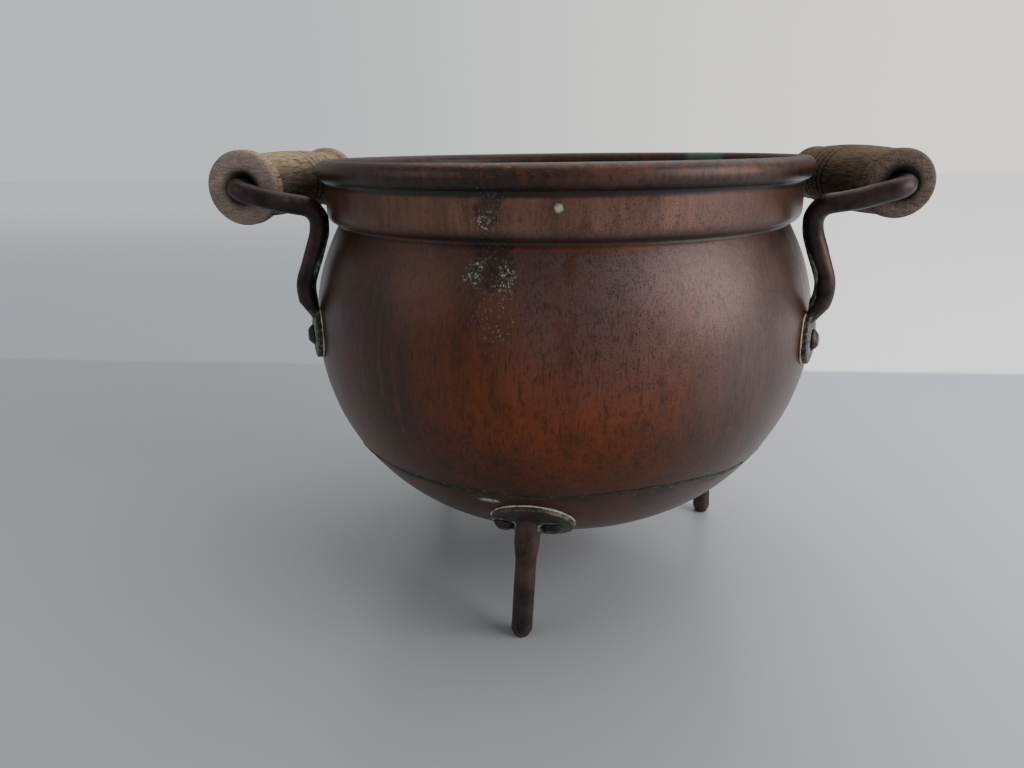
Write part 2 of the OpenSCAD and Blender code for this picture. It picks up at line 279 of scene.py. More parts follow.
# Stains and spots, each by its turn round the pot from +X, height, half width and half height.
stains = {
    "collarSpot": {"turn": -88.7, "z": 126.4, "wide": 1.1, "tall": 1.15},
    "collarPatch": {"turn": -101.9, "z": 123.6, "wide": 2.6, "tall": 3.0},
    "collarDark": {"turn": -101.6, "z": 125.6, "wide": 4.4, "tall": 7.0},
    "shoulderPatchLeft": {"turn": -104.4, "z": 111.2, "wide": 2.8, "tall": 4.6},
    "shoulderPatchRight": {"turn": -98.4, "z": 110.4, "wide": 2.6, "tall": 6.4},
    "shoulderDark": {"turn": -101.3, "z": 113.4, "wide": 6.6, "tall": 7.6},
    "shoulderTrail": {"turn": -99.8, "z": 102.0, "wide": 6.0, "tall": 10.0},
    "seamBlob": {"turn": -104.6, "z": 47.3, "wide": 3.4, "tall": 0.9},
}

# How the stains flake: how ragged their edges are, the noise that shows, and how strongly.
stainFlakes = (
    {"on": ("collarSpot",), "ragged": 0.6, "shown": (0.34, 0.48), "strength": 1.0},
    {"on": ("seamBlob",), "ragged": 0.6, "shown": (0.34, 0.46), "strength": 1.0},
    {"on": ("collarPatch", "shoulderPatchLeft", "shoulderPatchRight"), "ragged": 1.0,
     "shown": (0.52, 0.60), "strength": 1.0},
    {"on": ("shoulderTrail", "shoulderDark", "collarDark"), "ragged": 1.0,
     "shown": (0.57, 0.67), "strength": 0.6},
)


def stainMask(place, name, ragged):
    # 1 at the middle of a stain, fading to 0 at its ragged edge
    stain = stains[name]
    r = wallRadius(stain["z"])
    turn = radians(stain["turn"])
    centre = (r * cos(turn), r * sin(turn), stain["z"])
    squeeze = (1 / stain["wide"], 1 / stain["wide"], 1 / stain["tall"])
    far = place.stretched(squeeze).away(tuple(c * s for c, s in zip(centre, squeeze)))
    return (far + ragged).fade(1.15, 0.55)


def stainCrust(place):
    # flaky verdigris: the solid spots, and the broken specks of the patches
    ragged = (place.grain(0.8, 4, 0.7) - 0.5) * 1.8
    flakes = place.grain(1.5, 5, 0.78)
    crust = flakes * 0
    for how in stainFlakes:
        shown = flakes.fade(*how["shown"]) * how["strength"]
        for name in how["on"]:
            crust = crust.atLeast(stainMask(place, name, ragged * how["ragged"]) * shown)
    return crust.clamped()


def stainHalo(place, mottle):
    # the dark ground round the flaky patches
    ragged = (mottle - 0.5) * 3.0
    halo = stainMask(place, "collarDark", ragged)
    return halo.atLeast(stainMask(place, "shoulderDark", ragged)).clamped()


copperLook = {
    "deep": (0.034, 0.0155, 0.0115),
    "brown": (0.078, 0.029, 0.0180),
    "russet": (0.135, 0.040, 0.0165),
    "ember": (0.255, 0.060, 0.0180),
    # painted light: this mauve grey is the colour of the painted sheens on the upper belly
    "sheenMauve": (0.140, 0.095, 0.0960),
    "collar": (0.262, 0.130, 0.0880),
    # real soot in the stains, and also the painted shadow under the rim and painted shade on it
    "sootAndShadow": (0.0135, 0.0105, 0.0085),
    "trail": (0.150, 0.062, 0.036),
    "verdigris": (0.290, 0.390, 0.270),
    "chalk": (0.560, 0.560, 0.400),
    "greenBlack": (0.030, 0.040, 0.028),
    "scorch": (0.070, 0.026, 0.017),
    "dullGreen": (0.120, 0.210, 0.145),
    "insideGreen": (0.035, 0.085, 0.050),
}

copperGrains = {
    "streak": {"stretch": (1, 1, 0.10), "noise": (0.34, 5, 0.62, 0.4)},
    "fineStreak": {"stretch": (1, 1, 0.09), "noise": (1.7, 4, 0.66)},
    "cloud": {"stretch": (1, 1, 0.6), "noise": (0.040, 6, 0.60, 0.15)},
    "patchy": {"stretch": (1, 1, 0.5), "shift": (31, 7, 3), "noise": (0.10, 6, 0.62, 0.2)},
    "mottle": {"stretch": (1, 1, 0.7), "shift": (5, 11, 2), "noise": (0.42, 6, 0.74)},
    "rubs": {"stretch": (1, 1, 2.5), "noise": (0.7, 5, 0.72)},
    "speck": {"noise": (2.4, 2, 0.5)},
}

# The broad marks of the copper: the middle, how far it reaches and where it is full.
copperMarks = {
    # painted light: the warm mark is partly real warm tint and partly a painted reflection of the pale table
    # in front
    "warm": ((4, -80, 79), 46, 8),
    "bare": ((-2, -80, 76), 56, 14),
    # painted light: the next two marks place painted sheens, of the window on the right shoulder and of the
    # sky higher in the middle
    "shoulderSheen": ((50, -66, 106), 50, 6),
    "upperSheen": ((10, -78, 106), 36, 8),
    "pepper": ((40, -70, 106), 48, 14),
    # painted highlight: where the bright line below the crease shows
    "paintedGlow": ((6, -72, 116), 24, 12),
    "rub": ((-22, -72, 134), 34, 12),
    "farPatch": ((54, 49, 135.5), 11, 7),
}

# The lines round the pot: the height, how far it reaches, where it is full, and its waver.
copperLines = {
    # the first three lines: painted shade in the crease, a painted highlight below it, and a painted shadow
    # under the rim
    "crease": (pot["creaseZ"] + 0.3, 1.8, 0.2, 1.2),
    "paintedGlow": (pot["creaseZ"] - 1.5, 1.0, 0.1, 1.5),
    "underRim": (pot["rimZ"] - 3.6, 1.5, 0.1, 0),
    "seamDirt": (pot["seamZ"], 2.4, 0.2, 2.4),
    "seamFleck": (pot["seamZ"] + 0.6, 1.1, 0.2, 2.4),
}


def markMask(s, name):
    middle, reach, full = copperMarks[name]
    return s["place"].away(middle).fade(reach, full)


def lineMask(s, name):
    z, reach, full, waver = copperLines[name]
    return (s["z"] + (s["patchy"] - 0.5) * waver - z).absolute().fade(reach, full)


def copperSample(place):
    # what the layers of the copper share: the places, the noises and the common masks
    x, y, z = place.parts()
    s = {"place": place, "x": x, "y": y, "z": z}
    s.update(grainsOf(place, copperGrains))
    s["onCollar"] = (z - pot["creaseZ"] - 1).fade(0, 3) * (z - pot["rimZ"] + 4).fade(0, -1)
    s["crease"] = lineMask(s, "crease")
    s["seamDirt"] = lineMask(s, "seamDirt") * s["patchy"].fade(0.42, 0.56)
    s["crust"] = stainCrust(place)
    s["farPatch"] = markMask(s, "farPatch") * s["patchy"].fade(0.30, 0.42)
    return s


def copperGround(s):
    # brown copper with russet streaks; warm in front, partly a painted reflection of the pale table; a
    # painted mauve sheen of the window on the right shoulder and a painted sheen of the sky above the middle
    c = copperLook
    color = s["cloud"].ramp((0.30, c["deep"]), (0.48, c["brown"]), (0.70, c["russet"]))
    color = (s["streak"].fade(0.48, 0.70) * 0.7).over(color, c["russet"])
    # partly a painted reflection of the table
    warm = markMask(s, "warm") * s["patchy"].fade(0.26, 0.56)
    color = (warm * (s["z"].fade(50, 82) * 0.60 + 0.35)).over(color, c["ember"])
    # painted sheen of the window on the right shoulder
    shoulderSheen = markMask(s, "shoulderSheen") * s["cloud"].fade(0.2, 0.7)
    color = (shoulderSheen * 0.55).over(color, c["sheenMauve"])
    # painted sheen of the sky above the middle
    upperSheen = markMask(s, "upperSheen") * s["patchy"].fade(0.22, 0.58)
    return (upperSheen * 0.76).over(color, c["sheenMauve"])


def collarWearAndLight(color, s):
    # the collar is painted paler in rubbed patches: real wear, with painted light that is strongest in front
    # and weaker towards the sides, least on the right
    worn = s["onCollar"] * (s["streak"] * 0.4 + s["patchy"] * 0.6).fade(0.28, 0.62)
    # painted light: the paling is strongest in front, where the collar reflects the table, and weaker to the
    # sides
    front = 0.86 - s["x"].fade(12, 52) * 0.84 - s["x"].fade(-14, -50) * 0.52
    return (worn * front).over(color, copperLook["collar"])


def scratched(color, s):
    # fine blotches and scratches all over, and dark pits, most of all on the shoulder under the painted
    # sheen
    c = copperLook
    color = (s["mottle"].fade(0.50, 0.68) * 0.50).over(color, c["deep"])
    color = (s["mottle"].fade(0.44, 0.30) * 0.35).over(color, c["russet"])
    calm = 1 - s["onCollar"] * 0.6
    color = (s["fineStreak"].fade(0.52, 0.66) * calm * 0.55).over(color, c["deep"])
    color = (s["fineStreak"].fade(0.44, 0.32) * 0.28).over(color, c["trail"])
    peppered = markMask(s, "pepper") * 0.55 + 0.35
    return (s["speck"].fade(0.56, 0.66) * peppered).over(color, c["deep"])


def creaseShadeAndHighlight(color, s):
    # painted shade in the crease, a painted shadow under the rolled rim, and a painted highlight along the
    # line below the crease
    c = copperLook
    # painted shade in the crease
    color = (s["crease"] * 0.62).over(color, c["deep"])
    # painted shadow under the rolled rim
    color = (lineMask(s, "underRim") * 0.85).over(color, c["sootAndShadow"])
    # painted highlight below the crease
    paintedGlow = lineMask(s, "paintedGlow") * markMask(s, "paintedGlow") * s["streak"].fade(0.36, 0.56)
    return (paintedGlow * 0.70).over(color, c["ember"])


def rimPatinaAndShade(color, s):
    # the rolled rim is painted darker: dark blotches of patina, with painted shade on its underside and
    # towards its left and right sides
    onRim = (s["z"] - (pot["rimZ"] - 3)).fade(0, 0.6)
    # painted shade towards the sides and on the underside of the rim
    sides = s["x"].fade(10, -50) * 0.40 + s["x"].fade(20, 60) * 0.22
    below = (s["z"] - pot["rimZ"]).fade(0.5, -1.5) * 0.36
    blotches = s["mottle"].fade(0.40, 0.62) * 0.5 - 0.08
    return (onRim * (sides + below + blotches)).over(color, copperLook["sootAndShadow"])


def greenSeam(color, s):
    color = (s["seamDirt"] * 0.85).over(color, copperLook["greenBlack"])
    flecks = lineMask(s, "seamFleck") * s["mottle"].fade(0.55, 0.63)
    return (flecks * 0.6).over(color, copperLook["verdigris"])


def greenBehindRods(color, s):
    # verdigris on the belly behind each rod
    c = copperLook
    slant = tan(radians(90 - forging["footTurn"]))
    off = (s["x"].absolute() - s["y"].absolute() * slant).absolute()
    behind = (off + (s["patchy"] - 0.5) * 1.2).fade(3.0, 0.8)
    behind = behind * (s["z"] - 92).fade(0, 8) * (s["z"] - pot["creaseZ"] - 1).fade(1, -2)
    green = s["mottle"].ramp((0.42, c["greenBlack"]), (0.60, c["verdigris"]))
    return (behind * 0.62).over(color, green)


def rubbedRim(color, s):
    # bright rubs along the rim
    rub = (s["z"] - pot["rimZ"]).fade(-0.5, 1.2) * s["rubs"].fade(0.55, 0.62)
    return (rub * markMask(s, "rub") * 0.85).over(color, copperLook["ember"])


def stained(color, s):
    # the brown trail, the dark ground of the patches, and their flaky crust
    c = copperLook
    trail = stainMask(s["place"], "shoulderTrail", (s["mottle"] - 0.5) * 2)
    color = (trail * 0.6).over(color, c["trail"])
    ground = s["mottle"].ramp((0.44, c["sootAndShadow"]), (0.58, c["scorch"]))
    color = (stainHalo(s["place"], s["mottle"]) * 0.78).over(color, ground)
    flakes = s["place"].grain(1.7, 3, 0.6).ramp((0.38, c["verdigris"]), (0.62, c["chalk"]))
    color = s["crust"].over(color, flakes)
    return (s["farPatch"] * 0.90).over(color, c["dullGreen"])


def copperCoat(s):
    # less shine on the bare warm middle and on the right of the collar
    collar = (s["z"] - pot["creaseZ"]).fade(0, 3) * s["x"].fade(10, 56)
    return (0.36 - markMask(s, "bare") * 0.33) * (1 - collar * 0.7)


def copperFinish(name, inside):
    finish, shader, place = newFinish(name, {"Specular IOR Level": 0.5, "Coat Roughness": 0.36})
    s = copperSample(place)
    color = copperGround(s)
    for layer in (collarWearAndLight, scratched, creaseShadeAndHighlight, rimPatinaAndShade, greenSeam, greenBehindRods,
                  rubbedRim, stained):
        color = layer(color, s)
    rough = 0.30 + s["cloud"] * 0.16 + s["fineStreak"] * 0.10 + s["seamDirt"] * 0.2
    rough = rough + s["crust"] * 0.45 + s["crease"] * 0.15 + s["farPatch"] * 0.2
    if inside:
        # darker towards the bottom, in patches, and green blooms higher up
        lowDarkening = (s["z"] - 70).fade(60, -30) * 0.5 + s["patchy"].fade(0.35, 0.7) * 0.5
        color = (lowDarkening * 0.8).over(color, copperLook["deep"])
        blooms = s["patchy"].fade(0.56, 0.72) * (s["z"] - 95).fade(0, 22)
        color = (blooms * 0.75).over(color, copperLook["insideGreen"])
        rough = rough + 0.22 + blooms * 0.2
    pits = place.cells(0.9).fade(0.16, 0.02)
    height = s["cloud"] * 0.3 + s["streak"] * 0.15 + s["fineStreak"] * 0.10
    height = height - pits * 0.35 + s["crust"] * 0.9
    metal = 0.56 - s["crust"] * 0.55 - s["crease"] * 0.3
    finishWith(shader, place, color, rough, height, 0.10, metal, copperCoat(s))
    return finish


brazeLook = {
    "dark": (0.022, 0.020, 0.015),
    "brown": (0.060, 0.040, 0.026),
    "green": (0.045, 0.060, 0.042),
    "pale": (0.22, 0.28, 0.20),
}


def brazeFinish():
    c = brazeLook
    finish, shader, place = newFinish("brazeLine", {"Metallic": 0.35})
    lump = place.grain(0.7, 5, 0.65, 0.3)
    color = lump.ramp((0.34, c["dark"]), (0.50, c["brown"]), (0.62, c["green"]), (0.74, c["pale"]))
    finishWith(shader, place, color, 0.55 + lump * 0.25, lump, 0.25)
    return finish


rodLook = {
    "dark": (0.024, 0.018, 0.0175),
    "plum": (0.055, 0.037, 0.0345),
    "rust": (0.092, 0.050, 0.037),
    "greenBlack": (0.030, 0.046, 0.038),
    "green": (0.120, 0.185, 0.140),
    "pale": (0.480, 0.520, 0.390),
}

# the legs are a little paler
legLook = {
    **rodLook,
    "dark": (0.042, 0.032, 0.0295),
    "plum": (0.082, 0.058, 0.0520),
    "rust": (0.125, 0.078, 0.062),
}

forgedGrains = {
    "cloud": {"noise": (0.16, 5, 0.6, 0.4)},
    "scale": {"noise": (0.9, 5, 0.66, 0.3)},
    "speck": {"noise": (3.2, 2, 0.5)},
    "drift": {"noise": (0.40, 3, 0.5)},
}


def forgedFinish(name, greenMask, c):
    # dark forged metal, with verdigris where greenMask(place) says
    finish, shader, place = newFinish(name, {"Metallic": 0.75, "Specular IOR Level": 0.5,
                                              "Coat Weight": 0.12, "Coat Roughness": 0.38})
    g = grainsOf(place, forgedGrains)
    color = g["cloud"].ramp((0.34, c["dark"]), (0.54, c["plum"]), (0.76, c["rust"]))
    color = (g["speck"].fade(0.60, 0.74) * 0.5).over(color, c["dark"])
    green = (greenMask(place) + (g["scale"] - 0.5) * 0.9).fade(0.35, 0.80)
    tone = g["drift"] * 0.6 + g["scale"] * 0.4
    tone = tone.ramp((0.38, c["greenBlack"]), (0.50, c["green"]), (0.62, c["pale"]))
    color = green.over(color, tone)
    rough = 0.30 + g["cloud"] * 0.14 + g["scale"] * 0.10 + green * 0.34
    height = g["cloud"] + g["scale"] * 0.5 + green * 0.4
    finishWith(shader, place, color, rough, height, 0.20, 0.78 - green * 0.75)
    return finish


def addPiece(name, verts, faces, finishes, faceFinish=None):
    mesh = bpy.data.meshes.new(name)
    mesh.from_pydata(verts, [], faces)
    for finish in finishes:
        mesh.materials.append(finish)
    for polygon in mesh.polygons:
        polygon.use_smooth = True
        if faceFinish is not None:
            polygon.material_index = faceFinish[polygon.index]
    piece = bpy.data.objects.new(name, mesh)
    bpy.context.scene.collection.objects.link(piece)
    fixNormals(piece)
    return piece


def fixNormals(piece):
    work = bmesh.new()
    work.from_mesh(piece.data)
    bmesh.ops.recalc_face_normals(work, faces=work.faces)
    work.to_mesh(piece.data)
    work.free()


def turnedFaces(steps, count, links):
    # the faces of a turned form whose side outline has count points and this many links
    faces = []
    for step in range(steps):
        here = step * count
        there = (step + 1) % steps * count
        for i in range(links):
            j = (i + 1) % count
            faces.append((here + i, there + i, there + j, here + j))
    return faces


def turnedPiece(name, outlineAt, steps, finishes, closed=True, faceFinish=None):
    # outlineAt(turn) gives the side outline (radius, height) in millimetres at that turn
    verts = []
    for step in range(steps):
        turn = 2 * pi * step / steps
        for r, z in outlineAt(turn):
            verts.append((r * cos(turn) * mm, r * sin(turn) * mm, z * mm))
    count = len(verts) // steps
    links = count if closed else count - 1
    marks = [faceFinish(i) for i in range(links)] * steps if faceFinish else None
    return addPiece(name, verts, turnedFaces(steps, count, links), finishes, marks)


def arcPoints(cx, cz, radius, start, end, pieces):
    # points of an arc from start to end, in degrees
    points = []
    for i in range(pieces + 1):
        a = radians(start + (end - start) * i / pieces)
        points.append((cx + radius * cos(a), cz + radius * sin(a)))
    return points


def straight(a, b, pieces):
    # the points between two places, without the two
    return [(a[0] + (b[0] - a[0]) * i / pieces, a[1] + (b[1] - a[1]) * i / pieces)
            for i in range(1, pieces)]


# The hand work on the sheet: waves and depths in millimetres, and where each wave starts.
beating = {
    "waves": ((34, 0.28, 3.1), (9, 0.07, 7.7)),
    "upward": 0.25,          # share of it that also moves the sheet up or down
    "seamTurn": -66,         # where the seam climbs highest, in degrees
    "seamReach": 20,
    "seamClimb": 2.2,
    "seamWaver": 0.5,
    "seamWave": 16,
}


def ripple(turn, z, wave, start):
    # smooth noise round the pot, the same at every full turn
    r = pot["bellyR"]
    return noise.noise(Vector((cos(turn) * r / wave + start, sin(turn) * r / wave, z / wave)))


def beaten(turn, z):
    # how far the hand-beaten sheet stands off its true round, in millimetres
    return sum(depth * ripple(turn, z, wave, start) for wave, depth, start in beating["waves"])


def seamLift(turn):
    # the seam climbs a little on the front right and wavers all round
    b = beating
    ahead = degrees(turn) - 360 if turn > pi else degrees(turn)
    climb = b["seamClimb"] * max(0, 1 - ((ahead - b["seamTurn"]) / b["seamReach"]) ** 2)
    return climb + b["seamWaver"] * ripple(turn, 0, b["seamWave"], 11.0)


def beatenOutline(points, turn):
    moved = []
    for r, z in points:
        off = beaten(turn, z)
        moved.append((r + off, z + off * beating["upward"]))
    return moved


bowlParts = {"belly": 62, "round": 8, "wall": 9, "curl": 46, "lip": 2}
panParts = {"floor": 8, "belly": 58}


def bowlOutline(turn):
    # from the seam up the outside, round the rolled rim and down the inside
    p = pot
    n = bowlParts
    seam = arcAngle(p["seamZ"] + seamLift(turn))
    crease = arcAngle(p["creaseZ"])
    inner = p["bellyCurve"] - p["sheet"]
    cornerR = p["collarR"] - p["collarRound"]
    cornerZ = p["creaseZ"] + p["collarRound"]
    curlStart = -degrees(acos((p["collarR"] - p["rimR"]) / p["rimTube"]))
    neck = (p["collarR"], p["rimZ"] + p["rimTube"] * sin(radians(curlStart)))
    innerTop = (p["collarR"] - p["sheet"], p["rimZ"] - p["rimTube"] + 0.3)
    innerFoot = (p["collarR"] - p["sheet"], cornerZ)
    points = arcPoints(p["arcX"], p["bellyZ"], p["bellyCurve"] - 0.3, seam - 0.05, seam, 1)
    points += arcPoints(p["arcX"], p["bellyZ"], p["bellyCurve"], seam + 0.15, crease, n["belly"])
    points += arcPoints(cornerR, cornerZ, p["collarRound"], -90, 0, n["round"])
    points += straight(points[-1], neck, n["wall"])
    points += arcPoints(p["rimR"], p["rimZ"], p["rimTube"], curlStart, p["curlEnd"], n["curl"])
    points += arcPoints(p["rimR"], p["rimZ"], p["wireTube"], p["curlEnd"], p["lipEnd"], n["lip"])
    points.append(innerTop)
    points += straight(innerTop, innerFoot, n["wall"])
    points += arcPoints(cornerR, cornerZ, p["collarRound"] - p["sheet"], 0, -90, n["round"])
    points += arcPoints(p["arcX"], p["bellyZ"], inner, crease - 1.6, seam + p["lap"], n["belly"])
    return beatenOutline(points, turn)


def bowlSide(i):
    # the outside of the outline takes the first finish, the inside the second
    n = bowlParts
    outside = n["belly"] + n["round"] + n["wall"] + 3 + n["curl"] * 0.62
    return 0 if i < outside else 1


def panOutline(turn):
    # from the middle of the floor out to the lap, and back along the inside
    p = pot
    n = panParts
    seam = arcAngle(p["seamZ"] + seamLift(turn))
    lapEnd = seam + p["lap"]
    inner = p["bellyCurve"] - p["sheet"]
    middleR = 0.02
    points = [(middleR, p["bellyZ"] - p["bellyCurve"])]
    points += straight(points[0], (p["arcX"], p["bellyZ"] - p["bellyCurve"]), n["floor"])
    points += arcPoints(p["arcX"], p["bellyZ"], p["bellyCurve"], -90, seam - 0.1, n["belly"])
    points += arcPoints(p["arcX"], p["bellyZ"], inner + 0.25, seam + p["lap"] * 0.9, lapEnd, 1)
    points += arcPoints(p["arcX"], p["bellyZ"], inner, lapEnd, -90, n["belly"])
    points += straight(points[-1], (middleR, p["bellyZ"] - inner), n["floor"])
    points.append((middleR, p["bellyZ"] - inner))
    return beatenOutline(points, turn)


def panSide(i):
    return 0 if i < panParts["floor"] + panParts["belly"] + 3 else 1


brazeBead = {"swell": 0.62, "lump": 0.25, "lumpWave": 5, "grit": 0.12, "gritWave": 1.6,
             "sunk": 0.42, "least": 0.35, "sides": 11}


def brazeOutline(turn):
    # a lumpy round bead, half sunk in the seam
    p = pot
    b = brazeBead
    lift = seamLift(turn)
    angle = radians(arcAngle(p["seamZ"] + lift))
    swell = b["swell"] + b["lump"] * ripple(turn, 4, b["lumpWave"], 2.0)
    swell += b["grit"] * ripple(turn, 4, b["gritWave"], 5.0)
    far = p["bellyCurve"] - b["sunk"] + beaten(turn, p["seamZ"] + lift)
    cx = p["arcX"] + far * cos(angle)
    cz = p["bellyZ"] + far * sin(angle)
    return arcPoints(cx, cz, max(b["least"], swell), 0, 330, b["sides"])


def makePot():
    outside = copperFinish("bowlCopper", False)
    inside = copperFinish("bowlInside", True)
    copper = [outside, inside]
    bowl = turnedPiece("beatenBowl", bowlOutline, 360, copper, faceFinish=bowlSide)
    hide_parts("bowl_shell")
    pan = turnedPiece("beatenPan", panOutline, 360, copper, closed=False, faceFinish=panSide)
    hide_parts("bottom_pan")
    braze = turnedPiece("brazeBead", brazeOutline, 720, [brazeFinish()])
    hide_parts("seam_braze")
    for piece in (bowl, pan, braze):
        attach(piece, "pot")


# How the forged pieces are worked: the grid of the softened copy, and the waves and depths of
# the hammer's dents, in millimetres. The rest says where feet, plates and leg rivets sit.
forging = {
    "rod": {"voxel": 0.36, "dents": ((9.0, 0.16), (2.6, 0.05))},
    "leg": {"voxel": 0.34, "dents": ((9.0, 0.10), (2.2, 0.05))},
    "rivet": {"voxel": 0.2, "dents": ((2.4, 0.16), (0.9, 0.04))},
    "footTurn": 26.0,
    "footZ": 86.0,
    "plateR": 11.9,
    "plateShift": 1.2,
    "plateAngle": -46.2,
    "legTurn": -6.3,
    "rivetTurn": 6.5,
}


def footPlaces():
    angle = arcAngle(forging["footZ"])
    turn = forging["footTurn"]
    return [bellyPoint(side, angle) for side in (turn, -turn, 180 - turn, 180 + turn)]


def legTurns():
    return [-90 + forging["legTurn"] + 120 * i for i in range(3)]


def plateMiddle(turn, off=0.0):
    middle = bellyPoint(turn, forging["plateAngle"])
    shift = degrees(forging["plateShift"] / wallRadius(middle.z))
    return bellyPoint(turn + shift, forging["plateAngle"], off)


def softened(node, voxel):
    # a copy of a CAD piece's mesh on an even grid, its edges softened
    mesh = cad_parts[node].data.copy()
    mesh.materials.clear()
    work = bmesh.new()
    work.from_mesh(mesh)
    bmesh.ops.remove_doubles(work, verts=work.verts, dist=0.002 * mm)
    work.to_mesh(mesh)
    work.free()
    rough = bpy.data.objects.new(node + "Rough", mesh)
    bpy.context.scene.collection.objects.link(rough)
    even = rough.modifiers.new("even", "REMESH")
    even.mode = "VOXEL"
    even.voxel_size = voxel * mm
    even.use_smooth_shade = True
    soften = rough.modifiers.new("soften", "SMOOTH")
    soften.factor = 0.5
    soften.iterations = 3
    view = bpy.context.evaluated_depsgraph_get()
    worked = bpy.data.meshes.new_from_object(rough.evaluated_get(view))
    bpy.data.objects.remove(rough)
    return worked


def dent(mesh, dents):
    # moves each point along its normal, as a hammer would
    offsets = []
    for vertex in mesh.vertices:
        spot = vertex.co / mm
        off = sum(depth * noise.noise(spot / wave) for wave, depth in dents)
        offsets.append(vertex.normal * off * mm)
    for vertex, off in zip(mesh.vertices, offsets):
        vertex.co += off


def workedCopy(node, name, how, finish):
    mesh = softened(node, how["voxel"])
    mesh.name = name
    dent(mesh, how["dents"])
    mesh.materials.clear()
    mesh.materials.append(finish)
    for polygon in mesh.polygons:
        polygon.use_smooth = True
    piece = bpy.data.objects.new(name, mesh)
    bpy.context.scene.collection.objects.link(piece)
    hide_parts(node)
    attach(piece, "pot")


# The rod's middle, as a distance from the pot's axis that changes going down, and its verdigris.
rodRun = {
    "top": 77.4,
    "bow": 4.9,
    "bowZ": (117, 104),
    "shin": 3.2,
    "shinZ": (99, 89),
    "rightOut": 1.2,
    "greenTop": 121,
    "greenFoot": 94,
    "edgeRing": 8.2,         # distance of the foot's edge from its rivet
    "rivetRing": 4.9,
}


def rodMiddle(x, z):
    run = rodRun
    bow = z.fade(*run["bowZ"]) * run["bow"] - z.fade(*run["shinZ"]) * run["shin"]
    return bow + x.fade(-1, 1) * run["rightOut"] + run["top"]


def rodGreen(place):
    # verdigris on the side of each rod that faces the pot, and on its feet
    run = rodRun
    x, y, z = place.parts()
    r = (x * x + y * y).root()
    green = (rodMiddle(x, z) - r).fade(1.0, 2.4)
    green = green * (z - run["greenTop"]).fade(4, -4) * (z - run["greenFoot"]).fade(-2, 3)
    for middle in footPlaces():
        far = place.away(tuple(middle))
        edge = (far - run["edgeRing"]).absolute().fade(2.0, 0.6)
        ring = (far - run["rivetRing"]).absolute().fade(1.7, 0.5)
        green = green.atLeast(edge * 0.50)
        # the ring round the rivet is palest above it
        green = green.atLeast(ring * (z - middle.z).fade(-6, 3, 0.45, 1.0))
    return green * 0.95


legMarks = {"neckLow": 29, "neckHigh": 36, "rimFrom": 33, "headOff": 1.6, "headRing": 3.9,
            "faceOff": 1.0}


def legGreen(place):
    # round the neck of each post, round its rivets, and on the upper edge of its plate
    m = legMarks
    x, y, z = place.parts()
    green = (z - m["neckLow"]).fade(-3, 2) * (z - m["neckHigh"]).fade(2, -2) * 0.34
    for turn in legTurns():
        for side in (-1, 1):
            rivetTurn = turn + side * forging["rivetTurn"]
            rivet = bellyPoint(rivetTurn, forging["plateAngle"], m["headOff"])
            ring = (place.away(tuple(rivet)) - m["headRing"]).absolute().fade(0.9, 0.3)
            green = green.atLeast(ring * (z - rivet.z).fade(-2, 1, 0.4, 1.0))
        far = place.away(tuple(plateMiddle(turn, m["faceOff"])))
        edge = (far - forging["plateR"]).absolute().fade(0.7, 0.2)
        green = green.atLeast(edge * (z - m["rimFrom"]).fade(0, 4) * 0.45)
    return green


def rivetGreen(place):
    return place.grain(0.8, 4, 0.6).fade(0.50, 0.72) * 0.6


def makeForgings():
    rodFinish = forgedFinish("forgedRod", rodGreen, rodLook)
    legFinish = forgedFinish("forgedLeg", legGreen, legLook)
    rivetFinish = forgedFinish("hammeredRivet", rivetGreen, rodLook)
    f = forging
    for side in ("left", "right"):
        workedCopy(side + "_handle_rod", side + "ForgedHandle", f["rod"], rodFinish)
        for end in ("front", "rear"):
            name = side + end.title() + "Rivet"
            workedCopy(f"{side}_{end}_rivet", name, f["rivet"], rivetFinish)
    for leg in ("front", "right", "left"):
        workedCopy(leg + "_leg", leg + "ForgedLeg", f["leg"], legFinish)
        for end in ("a", "b"):
            name = leg + "LegRivet" + end.title()
            workedCopy(f"{leg}_leg_rivet_{end}", name, f["rivet"], rivetFinish)
    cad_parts["rim_wire"].data.materials[0] = forgedFinish("rimIron", rivetGreen, rodLook)


# The pale verdigris that has crept out round the plates and feet, as a bead on the belly.
creep = {
    "thick": 0.29,
    "vary": 0.55,
    "waves": (1.4, 4.0),
    "flat": 0.8,             # its height as a share of its width
    "sides": 8,
    "lift": 0.25,
    "plateOff": 0.15,
    "plateSteps": 150,
    "footOff": 0.1,
    "footSteps": 110,
    "dark": (0.090, 0.105, 0.070),
    "green": (0.34, 0.38, 0.26),
    "cream": (0.64, 0.62, 0.43),
    "pale": (0.76, 0.73, 0.56),
    "speck": (0.13, 0.13, 0.08),
}

foot = {"halfW": 7.0, "halfL": 9.4, "nose": 7.4, "drop": 0.6, "shift": 0.8}


def creepFinish():
    c = creep
    finish, shader, place = newFinish("verdigrisCrust", {"Metallic": 0.0})
    lump = place.grain(1.3, 5, 0.68, 0.3)
    fine = place.grain(4.0, 3, 0.6)
    color = lump.ramp((0.28, c["dark"]), (0.38, c["green"]), (0.50, c["cream"]), (0.74, c["pale"]))
    color = (fine.fade(0.64, 0.76) * 0.35).over(color, c["speck"])
    finishWith(shader, place, color, 0.72 + fine * 0.2, lump + fine * 0.5, 0.25)
    return finish


def curveCentre(spot):
    # the centre of the belly's side curve, in the upright plane of a place
    flat = Vector((spot.x, spot.y, 0)).normalized()
    return flat * pot["arcX"] + Vector((0, 0, pot["bellyZ"]))


def onBelly(spot):
    # drops a point onto the beaten belly, along the belly's own normal
    centre = curveCentre(spot)
    out = (spot - centre).normalized()
    far = pot["bellyCurve"] + creep["lift"] + beaten(atan2(spot.y, spot.x), spot.z)
    return centre + out * far


